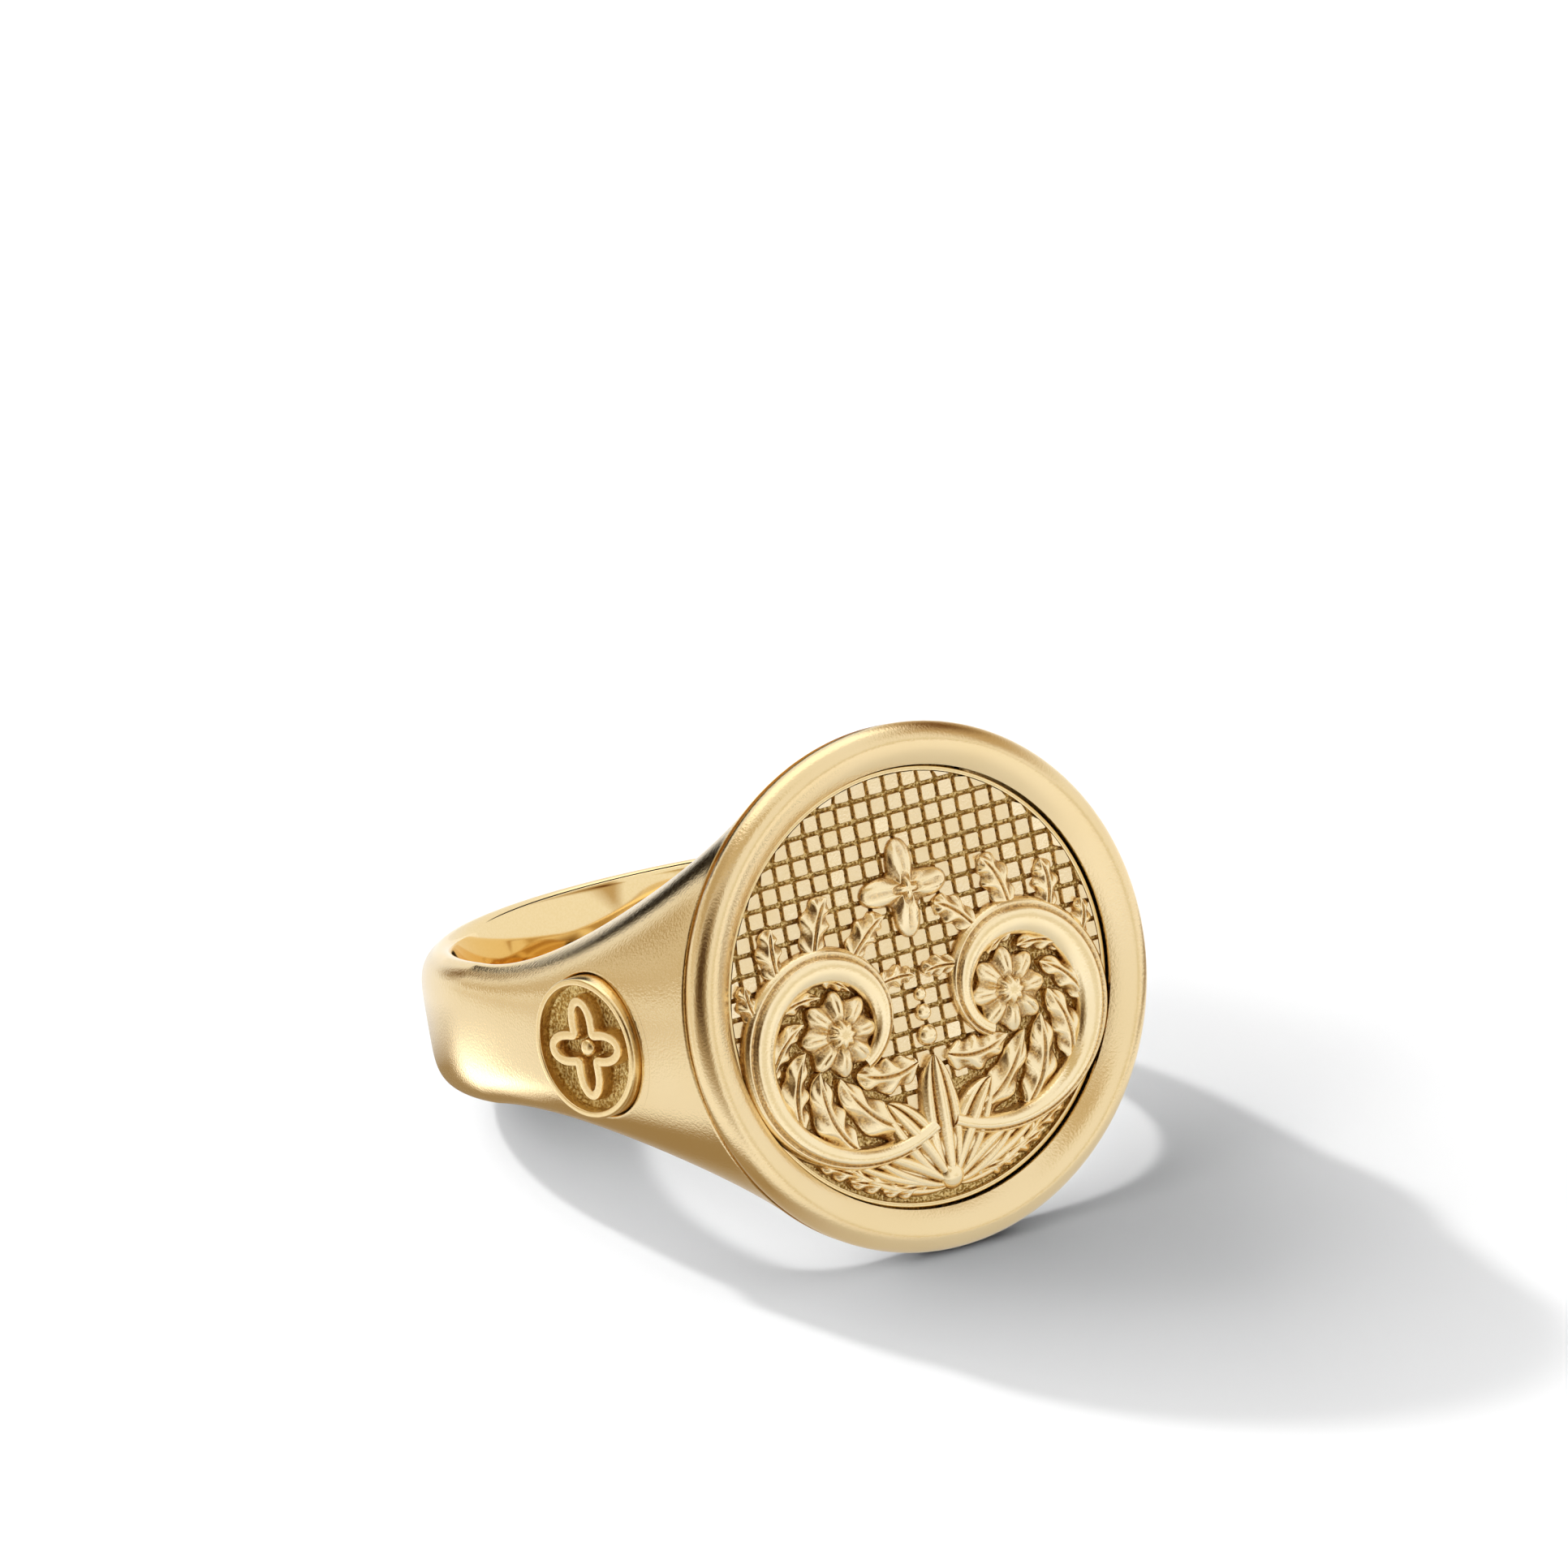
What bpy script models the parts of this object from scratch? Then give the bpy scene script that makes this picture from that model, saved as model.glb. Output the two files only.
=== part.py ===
# Round-faced signet ring lying on its side, as it rests on a table.
# Ring frame: z along the finger hole, -y out of the round face, x across the shoulders.
# Every piece is modelled in the ring frame and hangs on one empty that carries the resting tilt.

import math

import bmesh
import bpy
import numpy as np

MM = 0.001

# Hoop: the finger hole and the wall around it
BORE_RADIUS = 9.90 * MM
WALL = 1.70 * MM
HOOP_RADIUS = BORE_RADIUS + WALL
SHANK_HALF_WIDTH = 3.25 * MM
EDGE_ROUNDING = 0.46 * MM
SHANK_SQUARENESS = 4.75

# Head: the round drum that the shoulders flare into, with a straight wall below its seat
HEAD_RADIUS = 9.45 * MM
HEAD_WALL = 2.00 * MM
SEAT_HEIGHT = BORE_RADIUS + HEAD_WALL
DRUM_WALL = 0.40 * MM
HEAD_FULL_AT = SEAT_HEIGHT - DRUM_WALL
SEAT_STOCK = 0.70 * MM
SKIN_END = SEAT_HEIGHT + SEAT_STOCK
SIDE_POWER = 2.20
FLARE_POWER = 2.45
SQUARENESS_POWER = 1.09

# Fit between pieces that sit in or on each other
SEAT_GAP = 0.20 * MM

# Bezel rim: a half-round bead with a collar that drops into the head
RIM_PROUD = 0.05 * MM
RIM_WIDTH = 1.60 * MM
RIM_RADIUS = HEAD_RADIUS + RIM_PROUD
RIM_OPENING = RIM_RADIUS - RIM_WIDTH
RIM_WAIST = 0.33 * MM
RIM_MIDDLE_HEIGHT = SEAT_HEIGHT + RIM_WAIST
RIM_RISE = 1.12 * MM
RIM_LAND = 0.40 * MM
COLLAR_WALL = 0.55 * MM
COLLAR_RADIUS = RIM_OPENING + COLLAR_WALL
COLLAR_DEPTH = 0.45 * MM
RECESS_RADIUS = COLLAR_RADIUS + SEAT_GAP
RECESS_FLOOR = SEAT_HEIGHT - COLLAR_DEPTH - SEAT_GAP

# Medallion: a plain disc that carries the relief
MEDALLION_RADIUS = RIM_OPENING - SEAT_GAP
MEDALLION_BACK = RECESS_FLOOR + SEAT_GAP
MEDALLION_THICKNESS = 0.83 * MM
MEDALLION_FACE = MEDALLION_BACK + MEDALLION_THICKNESS
RELIEF_FOOT = MEDALLION_FACE + SEAT_GAP
RELIEF_THICKNESS = 0.44 * MM

# Scrolls: a pair of logarithmic spirals, mirrored about the middle of the face
SCROLL_ACROSS = 0.461 * MEDALLION_RADIUS
SCROLL_DROP = 0.117 * MEDALLION_RADIUS
SCROLL_REACH = 0.435 * MEDALLION_RADIUS
SCROLL_TUBE = 0.0429 * MEDALLION_RADIUS
SCROLL_DECAY = 0.19
SCROLL_START = math.radians(-105.0)
SCROLL_END = math.radians(395.0)
SCROLL_POINTS = 46

# Leaf cup at the foot of the scrolls and flower above them
CUP_DROP = 0.857 * MEDALLION_RADIUS
CUP_CORE = 0.078 * MEDALLION_RADIUS
CUP_LEAF = 0.325 * MEDALLION_RADIUS
FLOWER_LIFT = 0.4675 * MEDALLION_RADIUS
FLOWER_MEAN = 0.143 * MEDALLION_RADIUS
FLOWER_WAVE = 0.078 * MEDALLION_RADIUS

# Shoulder badges: sunk discs with a raised border and a four-lobed knot
BADGE_FORWARD = 0.6565 * HEAD_FULL_AT
BADGE_RADIUS = 2.55 * MM
BADGE_BORDER = 0.30 * MM
BADGE_RISE = 0.20 * MM
BADGE_SUNK = 0.35 * MM
BADGE_DEPTH = 0.80 * MM
KNOT_TUBE = 0.0667 * BADGE_RADIUS
KNOT_MEAN = 0.47 * BADGE_RADIUS
KNOT_WAVE = 0.196 * BADGE_RADIUS

# Facets
HEAD_SECTIONS = 16
HEAD_SPREAD = math.radians(74.0)
HOOP_SECTIONS = 41
SECTION_POINTS = 28
CORNER_CROWDING = 0.60
RIM_STEPS = 64
ARC_POINTS = 5
ROUND_STEPS = 48


def skin_level(x, y, z):
    # Outer skin as a superellipse in x and z: below 1 inside, above 1 outside.
    # Towards the face it widens into the round head, and behind the hole it bends round the hoop.
    reach = np.clip(-y / HEAD_FULL_AT, 0.0, 1.0)
    side = HOOP_RADIUS - (HOOP_RADIUS - HEAD_RADIUS) * reach ** SIDE_POWER
    half_width = SHANK_HALF_WIDTH + (HEAD_RADIUS - SHANK_HALF_WIDTH) * reach ** FLARE_POWER
    power = 2.0 + (SHANK_SQUARENESS - 2.0) * (1.0 - reach) ** SQUARENESS_POWER
    spread = np.hypot(x, np.clip(y, 0.0, None))
    total = (spread / side) ** power + (np.abs(z) / half_width) ** power
    return total ** (1.0 / power)


def skin_distance(x, y, z):
    step = 0.0001 * WALL
    level = skin_level(x, y, z)
    slope_x = (skin_level(x + step, y, z) - level) / step
    slope_y = (skin_level(x, y + step, z) - level) / step
    slope_z = (skin_level(x, y, z + step) - level) / step
    slope = np.sqrt(slope_x ** 2 + slope_y ** 2 + slope_z ** 2)
    return (level - 1.0) / np.maximum(slope, 0.1)


def body_distance(x, y, z):
    # The skin cut by the finger hole, with the edge between them rounded, and by a plane ahead.
    outer = skin_distance(x, y, z)
    hole = BORE_RADIUS - np.hypot(x, y)
    corner = np.hypot(np.maximum(outer + EDGE_ROUNDING, 0.0), np.maximum(hole + EDGE_ROUNDING, 0.0))
    rounded = np.minimum(-EDGE_ROUNDING, np.maximum(outer, hole)) + corner
    return np.maximum(rounded, -y - SKIN_END)


def solve_reach(distance, low, high):
    # Halving search for where the distance turns from inside to outside.
    for _ in range(40):
        middle = 0.5 * (low + high)
        inside = distance(middle) < 0.0
        low = np.where(inside, middle, low)
        high = np.where(inside, high, middle)
    return 0.5 * (low + high)


def section_angles():
    # Sections around the hole: evenly round the head's own circle, then evenly round the hoop.
    spread = np.linspace(-HEAD_SPREAD, HEAD_SPREAD, HEAD_SECTIONS + 1)
    head = np.arctan2(-SEAT_HEIGHT, HEAD_RADIUS * np.sin(spread))
    hoop = np.linspace(head[-1], head[0] + 2.0 * math.pi, HOOP_SECTIONS + 1)
    return np.concatenate([head, hoop[1:-1]])


def section_turns():
    # Turns round a section, drawn together where the skin bends over its corners.
    even = np.linspace(0.0, 2.0 * math.pi, SECTION_POINTS, endpoint=False)
    return even + 0.25 * CORNER_CROWDING * np.sin(4.0 * even)


def body_sections():
    angle = section_angles()
    cos_a = np.cos(angle)
    sin_a = np.sin(angle)
    outer = solve_reach(
        lambda r: np.maximum(skin_distance(r * cos_a, r * sin_a, 0.0 * r), -r * sin_a - SKIN_END),
        np.full(len(angle), BORE_RADIUS),
        np.full(len(angle), 2.0 * HOOP_RADIUS),
    )
    # Rays leave a circle that runs inside the wall, half a wall out from the hole.
    middle = BORE_RADIUS + 0.5 * WALL
    half_width = solve_reach(
        lambda h: skin_distance(middle * cos_a, middle * sin_a, h),
        np.zeros(len(angle)),
        np.full(len(angle), 1.3 * HEAD_RADIUS),
    )
    turn = section_turns()
    wall = np.where(np.cos(turn) > 0.0, outer[:, None] - middle, middle - BORE_RADIUS)
    out = wall * np.cos(turn)
    up = half_width[:, None] * np.sin(turn)
    scale = solve_reach(
        lambda s: body_distance(
            (middle + s * out) * cos_a[:, None],
            (middle + s * out) * sin_a[:, None],
            s * up,
        ),
        np.zeros(out.shape),
        np.full(out.shape, 3.0),
    )
    radius = middle + scale * out
    return np.stack([radius * cos_a[:, None], radius * sin_a[:, None], scale * up], axis=-1)


def new_object(name, data, collection, parent):
    made = bpy.data.objects.new(name, data)
    collection.objects.link(made)
    made.parent = parent
    return made


def mesh_from_bmesh(name, shape):
    data = bpy.data.meshes.new(name)
    shape.to_mesh(data)
    shape.free()
    return data


def loft_mesh(name, sections):
    # Closed loops joined one to the next, the last back to the first.
    shape = bmesh.new()
    rings = [[shape.verts.new(point) for point in loop] for loop in sections]
    count = len(rings)
    around = len(rings[0])
    for i in range(count):
        here = rings[i]
        there = rings[(i + 1) % count]
        for j in range(around):
            k = (j + 1) % around
            shape.faces.new((here[j], there[j], there[k], here[k]))
    bmesh.ops.recalc_face_normals(shape, faces=shape.faces)
    return mesh_from_bmesh(name, shape)


def cylinder_mesh(name, radius, low, high, segments):
    shape = bmesh.new()
    bmesh.ops.create_cone(
        shape, cap_ends=True, segments=segments, radius1=radius, radius2=radius, depth=high - low
    )
    bmesh.ops.translate(shape, vec=(0.0, 0.0, 0.5 * (low + high)), verts=shape.verts)
    return mesh_from_bmesh(name, shape)


def turned_object(name, profile, closed, steps, collection, parent):
    # Profile points are radius and height; the outer side runs from top to bottom.
    shape = bmesh.new()
    points = [shape.verts.new((radius, 0.0, height)) for radius, height in profile]
    for first, second in zip(points, points[1:]):
        shape.edges.new((first, second))
    if closed:
        shape.edges.new((points[-1], points[0]))
    made = new_object(name, mesh_from_bmesh(name, shape), collection, parent)
    screw = made.modifiers.new("turn", "SCREW")
    screw.angle = 2.0 * math.pi
    screw.steps = steps
    screw.render_steps = steps
    screw.use_merge_vertices = True
    screw.merge_threshold = 0.00001
    return made


def tube_object(name, points, radius, closed, collection, parent):
    data = bpy.data.curves.new(name, "CURVE")
    data.dimensions = "3D"
    data.bevel_depth = radius
    data.bevel_resolution = 2
    data.use_fill_caps = True
    line = data.splines.new("POLY")
    line.points.add(len(points) - 1)
    for point, place in zip(line.points, points):
        point.co = (place[0], place[1], place[2], 1.0)
    line.use_cyclic_u = closed
    return new_object(name, data, collection, parent)


def plate_object(name, outline, low, high, collection, parent):
    data = bpy.data.curves.new(name, "CURVE")
    data.dimensions = "2D"
    data.fill_mode = "BOTH"
    data.extrude = 0.5 * (high - low)
    line = data.splines.new("POLY")
    line.points.add(len(outline) - 1)
    for point, place in zip(line.points, outline):
        point.co = (place[0], place[1], 0.0, 1.0)
    line.use_cyclic_u = True
    return new_object(name, data, collection, parent)


def polar_outline(centre, radius_at, count):
    points = []
    for i in range(count):
        angle = 2.0 * math.pi * i / count
        radius = radius_at(angle)
        points.append((centre[0] + radius * math.cos(angle), centre[1] + radius * math.sin(angle)))
    return points


def gold(name, colour, roughness):
    material = bpy.data.materials.new(name)
    material.use_nodes = True
    surface = material.node_tree.nodes["Principled BSDF"]
    surface.inputs["Base Color"].default_value = (*colour, 1.0)
    surface.inputs["Roughness"].default_value = roughness
    surface.inputs["Metallic"].default_value = 1.0
    return material


def finish(made, material, smooth_angle):
    made.data.materials.append(material)
    if made.type == "MESH":
        made.data.shade_smooth()
        made.data.set_sharp_from_angle(angle=math.radians(smooth_angle))


def cut(target, cutter):
    cutter.hide_render = True
    cutter.display_type = "WIRE"
    boolean = target.modifiers.new(cutter.name, "BOOLEAN")
    boolean.operation = "DIFFERENCE"
    boolean.solver = "EXACT"
    boolean.object = cutter


def face_up(made):
    # Local z turns to the face normal, local y to the finger axis.
    made.rotation_euler = (0.5 * math.pi, 0.0, 0.0)


def shoulder_frame(side):
    # Point and outward turn of the skin where a badge sits on the shoulder's middle line.
    reach = BADGE_FORWARD / HEAD_FULL_AT
    out = HOOP_RADIUS - (HOOP_RADIUS - HEAD_RADIUS) * reach ** SIDE_POWER
    fall = (HOOP_RADIUS - HEAD_RADIUS) * SIDE_POWER * reach ** (SIDE_POWER - 1.0) / HEAD_FULL_AT
    turn = 0.5 * math.pi - math.atan(fall)
    return (side * out, -BADGE_FORWARD, 0.0), side * turn


for old in list(bpy.data.objects):
    bpy.data.objects.remove(old, do_unlink=True)

parts = bpy.data.collections.new("signet_ring")
cutters = bpy.data.collections.new("signet_ring_cutters")
bpy.context.scene.collection.children.link(parts)
bpy.context.scene.collection.children.link(cutters)

rest = bpy.data.objects.new("finger_axis", None)
parts.objects.link(rest)

# Ring body: hoop, shoulders and head in one casting
body = new_object("ring_body", loft_mesh("ring_body", body_sections()), parts, rest)

seat = new_object(
    "seat_cutter",
    cylinder_mesh("seat_cutter", 1.5 * HEAD_RADIUS, SEAT_HEIGHT, SKIN_END + SEAT_STOCK, ROUND_STEPS),
    cutters,
    rest,
)
face_up(seat)
cut(body, seat)
recess = new_object(
    "recess_cutter",
    cylinder_mesh("recess_cutter", RECESS_RADIUS, RECESS_FLOOR, SKIN_END, RIM_STEPS),
    cutters,
    rest,
)
face_up(recess)
cut(body, recess)

# Bezel rim: bead with a flat land along its crest, collar below
rim_middle = 0.5 * (RIM_RADIUS + RIM_OPENING)
rim_half = 0.5 * (RIM_RADIUS - RIM_OPENING)
land_angle = math.acos(0.5 * RIM_LAND / rim_half)
rim_foot = SEAT_HEIGHT + SEAT_GAP
rim_profile = []
for i in range(ARC_POINTS + 1):
    angle = land_angle * (1.0 - i / ARC_POINTS)
    rim_profile.append(
        (rim_middle + rim_half * math.cos(angle), RIM_MIDDLE_HEIGHT + RIM_RISE * math.sin(angle))
    )
rim_profile.append((RIM_RADIUS, rim_foot))
rim_profile.append((COLLAR_RADIUS, rim_foot))
rim_profile.append((COLLAR_RADIUS, SEAT_HEIGHT - COLLAR_DEPTH))
rim_profile.append((RIM_OPENING, SEAT_HEIGHT - COLLAR_DEPTH))
for i in range(ARC_POINTS + 1):
    angle = math.pi - land_angle * i / ARC_POINTS
    rim_profile.append(
        (rim_middle + rim_half * math.cos(angle), RIM_MIDDLE_HEIGHT + RIM_RISE * math.sin(angle))
    )
rim = turned_object("bezel_rim", rim_profile, True, RIM_STEPS, parts, rest)
# Half a step of turn puts a facet, not a corner, under the ring.
rim.rotation_euler = (0.5 * math.pi, math.pi / RIM_STEPS, 0.0)

# Medallion disc inside the rim
medallion = new_object(
    "medallion_plate",
    cylinder_mesh(
        "medallion_plate", MEDALLION_RADIUS, MEDALLION_BACK, MEDALLION_FACE, RIM_STEPS
    ),
    parts,
    rest,
)
face_up(medallion)


def scroll_points(side):
    points = []
    for i in range(SCROLL_POINTS):
        turn = SCROLL_START + (SCROLL_END - SCROLL_START) * i / (SCROLL_POINTS - 1)
        radius = SCROLL_REACH * math.exp(-SCROLL_DECAY * turn)
        across = SCROLL_ACROSS + radius * math.cos(turn)
        along = radius * math.sin(turn) - SCROLL_DROP
        points.append((side * across, along, RELIEF_FOOT + SCROLL_TUBE))
    return points


def cup_radius(angle):
    lift = max(0.0, math.sin(angle)) ** 0.8
    return CUP_CORE + CUP_LEAF * lift * (0.72 + 0.28 * math.cos(6.0 * (angle - 0.5 * math.pi)))


def flower_radius(angle):
    return FLOWER_MEAN + FLOWER_WAVE * math.cos(4.0 * angle)


scroll_left = tube_object("scroll_left", scroll_points(-1.0), SCROLL_TUBE, False, parts, rest)
face_up(scroll_left)
scroll_right = tube_object("scroll_right", scroll_points(1.0), SCROLL_TUBE, False, parts, rest)
face_up(scroll_right)

relief_top = RELIEF_FOOT + RELIEF_THICKNESS
relief_middle = 0.5 * (RELIEF_FOOT + relief_top)
leaf_cup = plate_object(
    "leaf_cup", polar_outline((0.0, -CUP_DROP), cup_radius, 72), RELIEF_FOOT, relief_top, parts, rest
)
face_up(leaf_cup)
leaf_cup.location = (0.0, -relief_middle, 0.0)
flower = plate_object(
    "flower", polar_outline((0.0, FLOWER_LIFT), flower_radius, 64), RELIEF_FOOT, relief_top, parts, rest
)
face_up(flower)
flower.location = (0.0, -relief_middle, 0.0)

# Shoulder badges, one on each side, in pockets cut along the skin's normal
badge_profile = [
    (0.0, -BADGE_SUNK),
    (BADGE_RADIUS - BADGE_BORDER, -BADGE_SUNK),
    (BADGE_RADIUS - BADGE_BORDER, BADGE_RISE),
    (BADGE_RADIUS - 0.3 * BADGE_BORDER, BADGE_RISE),
    (BADGE_RADIUS, BADGE_RISE - 0.3 * BADGE_BORDER),
    (BADGE_RADIUS, -BADGE_DEPTH),
    (0.0, -BADGE_DEPTH),
]


def knot_radius(angle):
    return KNOT_MEAN + KNOT_WAVE * math.cos(4.0 * angle)


knot_height = SEAT_GAP + KNOT_TUBE - BADGE_SUNK
knot_line = [(x, y, knot_height) for x, y in polar_outline((0.0, 0.0), knot_radius, 40)]
badges = []
knots = []
for label, side in (("left", -1.0), ("right", 1.0)):
    place, turn = shoulder_frame(side)
    pocket = new_object(
        "pocket_cutter_" + label,
        cylinder_mesh(
            "pocket_cutter_" + label,
            BADGE_RADIUS + SEAT_GAP,
            -BADGE_DEPTH - SEAT_GAP,
            BADGE_RADIUS,
            ROUND_STEPS,
        ),
        cutters,
        rest,
    )
    badge = turned_object("badge_" + label, badge_profile, False, ROUND_STEPS, parts, rest)
    knot = tube_object("badge_knot_" + label, knot_line, KNOT_TUBE, True, parts, rest)
    for piece in (pocket, badge, knot):
        piece.location = place
        piece.rotation_euler = (0.5 * math.pi, 0.0, turn)
    cut(body, pocket)
    badges.append(badge)
    knots.append(knot)

finish(body, gold("satin gold body", (0.80, 0.58, 0.27), 0.34), 40.0)
finish(rim, gold("satin gold rim", (0.82, 0.60, 0.29), 0.30), 40.0)
finish(medallion, gold("frosted gold ground", (0.52, 0.35, 0.10), 0.50), 40.0)
for piece in (scroll_left, scroll_right, leaf_cup, flower):
    finish(piece, gold("chased gold " + piece.name, (0.84, 0.63, 0.32), 0.28), 40.0)
for piece in badges:
    finish(piece, gold("struck gold " + piece.name, (0.78, 0.56, 0.25), 0.32), 40.0)
for piece in knots:
    finish(piece, gold("polished gold " + piece.name, (0.85, 0.64, 0.33), 0.22), 40.0)

# Resting tilt: the line under the ring from the bottom of the head to the back of the shank
bpy.context.view_layer.update()
graph = bpy.context.evaluated_depsgraph_get()
corners = []
for piece in parts.objects:
    if piece.type == "EMPTY":
        continue
    solid = piece.evaluated_get(graph)
    mesh = solid.to_mesh()
    corners.extend(solid.matrix_world @ vertex.co for vertex in mesh.vertices)
    solid.to_mesh_clear()
corners = np.array([tuple(corner) for corner in corners])
front = corners[corners[:, 1] < 0.0]
back = corners[corners[:, 1] > 0.0]
tilt = 0.0
for _ in range(12):
    low_front = front[np.argmin(front[:, 2] * math.cos(tilt) - front[:, 1] * math.sin(tilt))]
    low_back = back[np.argmin(back[:, 2] * math.cos(tilt) - back[:, 1] * math.sin(tilt))]
    tilt = math.atan2(low_back[2] - low_front[2], low_back[1] - low_front[1])

# The origin goes to the middle of the ring's box, on the table
height = corners[:, 2] * math.cos(tilt) - corners[:, 1] * math.sin(tilt)
depth = corners[:, 1] * math.cos(tilt) + corners[:, 2] * math.sin(tilt)
rest.rotation_euler = (-tilt, 0.0, 0.0)
rest.location = (0.0, -0.5 * (depth.min() + depth.max()), -height.min())
bpy.context.view_layer.update()
print("resting tilt in degrees", math.degrees(tilt))
print("finger axis at", tuple(rest.location))
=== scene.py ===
import math

import bpy
import numpy as np
from mathutils import Matrix


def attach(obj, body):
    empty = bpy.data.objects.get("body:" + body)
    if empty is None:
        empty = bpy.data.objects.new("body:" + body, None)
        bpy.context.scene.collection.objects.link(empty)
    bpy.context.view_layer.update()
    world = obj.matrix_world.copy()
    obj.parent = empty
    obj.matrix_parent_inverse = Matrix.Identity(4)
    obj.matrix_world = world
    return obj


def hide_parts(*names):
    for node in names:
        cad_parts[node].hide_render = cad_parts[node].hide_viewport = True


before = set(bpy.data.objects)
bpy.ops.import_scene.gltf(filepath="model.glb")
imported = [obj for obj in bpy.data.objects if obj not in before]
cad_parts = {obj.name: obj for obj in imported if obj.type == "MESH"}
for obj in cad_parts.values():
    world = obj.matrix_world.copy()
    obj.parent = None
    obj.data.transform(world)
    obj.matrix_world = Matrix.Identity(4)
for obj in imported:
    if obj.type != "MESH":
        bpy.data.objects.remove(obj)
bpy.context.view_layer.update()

# Ring frame, in millimetres: x across the shoulders, z along the finger hole, the face towards -y.
stance = {"tilt": 17.1311598, "axisY": 1.9449772, "axisZ": 5.6227837}


def toWorld(points):
    # Turns ring points back by the resting tilt, lifts them to the finger axis, and makes them metres.
    tilt = math.radians(stance["tilt"])
    x, y, z = points[..., 0], points[..., 1], points[..., 2]
    depth = y * math.cos(tilt) + z * math.sin(tilt) + stance["axisY"]
    height = z * math.cos(tilt) - y * math.sin(tilt) + stance["axisZ"]
    return 0.001 * np.stack([x, depth, height], axis=-1)


def onFace(across, along, height):
    # Face point: across the face, along the finger axis, and height out from the finger axis.
    across, along, height = np.broadcast_arrays(across, along, height)
    return np.stack([across, -height, along], axis=-1)


def smooth(low, high, value):
    # Smooth step: 0 at low, 1 at high, level at both ends.
    share = np.clip((value - low) / (high - low), 0.0, 1.0)
    return share * share * (3.0 - 2.0 * share)


def ringQuads(rows, cols, wrap):
    # Quads between each closed loop of points and the next; wrap joins the last loop to the first.
    row = np.arange(rows if wrap else rows - 1)
    i, j = np.meshgrid(row, np.arange(cols), indexing="ij")
    k, m = (i + 1) % rows, (j + 1) % cols
    return np.stack([i * cols + j, k * cols + j, k * cols + m, i * cols + m], axis=-1).reshape(-1, 4)


def loft(loops, wrap=False, **values):
    # Closed loops joined one to the next; open ends are closed by a fan round the loop's middle.
    rows, cols = loops.shape[:2]
    points = loops.reshape(-1, 3)
    values = {name: np.broadcast_to(value, (rows, cols)).reshape(-1) for name, value in values.items()}
    faces = [ringQuads(rows, cols, wrap)]
    if not wrap:
        j = np.arange(cols)
        last = (rows - 1) * cols
        middle = np.full(cols, rows * cols)
        faces.append(np.stack([middle, j, (j + 1) % cols], axis=-1))
        faces.append(np.stack([middle + 1, last + (j + 1) % cols, last + j], axis=-1))
        points = np.concatenate([points, loops[[0, -1]].mean(axis=1)])
        ends = {name: value.reshape(rows, cols)[[0, -1]].mean(axis=1) for name, value in values.items()}
        values = {name: np.concatenate([value, ends[name]]) for name, value in values.items()}
    return {"points": points, "faces": faces, "values": values}


def outward(shell):
    # A closed shell with negative signed volume is inside out, so its faces are turned round.
    points, volume = shell["points"], 0.0
    for faces in shell["faces"]:
        for k in range(1, faces.shape[1] - 1):
            a, b, c = points[faces[:, 0]], points[faces[:, k]], points[faces[:, k + 1]]
            volume += np.sum(a * np.cross(b, c))
    return [faces if volume > 0.0 else faces[:, ::-1] for faces in shell["faces"]]


def makePiece(name, shells, material, nodes, sharp=40.0):
    # Joins shells in the ring frame into one mesh in world metres, and hands it to the frame.
    mesh = bpy.data.meshes.new(name)
    starts = np.cumsum([0] + [len(shell["points"]) for shell in shells])
    points = toWorld(np.concatenate([shell["points"] for shell in shells]))
    faces = []
    for start, shell in zip(starts, shells):
        for block in outward(shell):
            faces.extend((block + start).tolist())
    mesh.from_pydata(points.tolist(), [], faces)
    for label in shells[0]["values"]:
        attribute = mesh.attributes.new(label, "FLOAT", "POINT")
        data = np.concatenate([shell["values"][label] for shell in shells])
        attribute.data.foreach_set("value", data.astype(np.float32))
    mesh.shade_smooth()
    mesh.set_sharp_from_angle(angle=math.radians(sharp))
    mesh.materials.append(material)
    piece = bpy.data.objects.new(name, mesh)
    piece.visible_diffuse = False
    bpy.context.scene.collection.objects.link(piece)
    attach(piece, "root")
    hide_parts(*nodes)
    print(name, len(mesh.vertices), "points", len(faces), "faces")
    return piece


def turned(profile, count):
    # Radius and height pairs turned round the face's own axis; each pair makes one loop.
    angle = np.linspace(0.0, 2.0 * math.pi, count, endpoint=False)
    radius, height = profile[:, 0, None], profile[:, 1, None]
    return onFace(radius * np.cos(angle), radius * np.sin(angle), height + 0.0 * angle)


def arc(centre, half, start, end, count):
    # Part of an ellipse as radius and height pairs.
    angle = np.radians(np.linspace(start, end, count))
    return np.stack([centre[0] + half[0] * np.cos(angle), centre[1] + half[1] * np.sin(angle)], axis=-1)


# Materials

def linear(code):
    # sRGB hex to linear light.
    value = np.array([int(code[i:i + 2], 16) / 255.0 for i in (1, 3, 5)])
    value = np.where(value <= 0.04045, value / 12.92, ((value + 0.055) / 1.055) ** 2.4)
    return (*value.tolist(), 1.0)


def node(tree, kind, settings=None, **links):
    # Adds one node: settings are its own properties, links are values or sockets for its inputs.
    made = tree.nodes.new(kind)
    for name, value in (settings or {}).items():
        setattr(made, name, value)
    for name, value in links.items():
        key = int(name[1:]) if name[0] == "i" and name[1:].isdigit() else name.replace("_", " ")
        if isinstance(value, bpy.types.NodeSocket):
            tree.links.new(value, made.inputs[key])
        else:
            made.inputs[key].default_value = value
    return made


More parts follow.
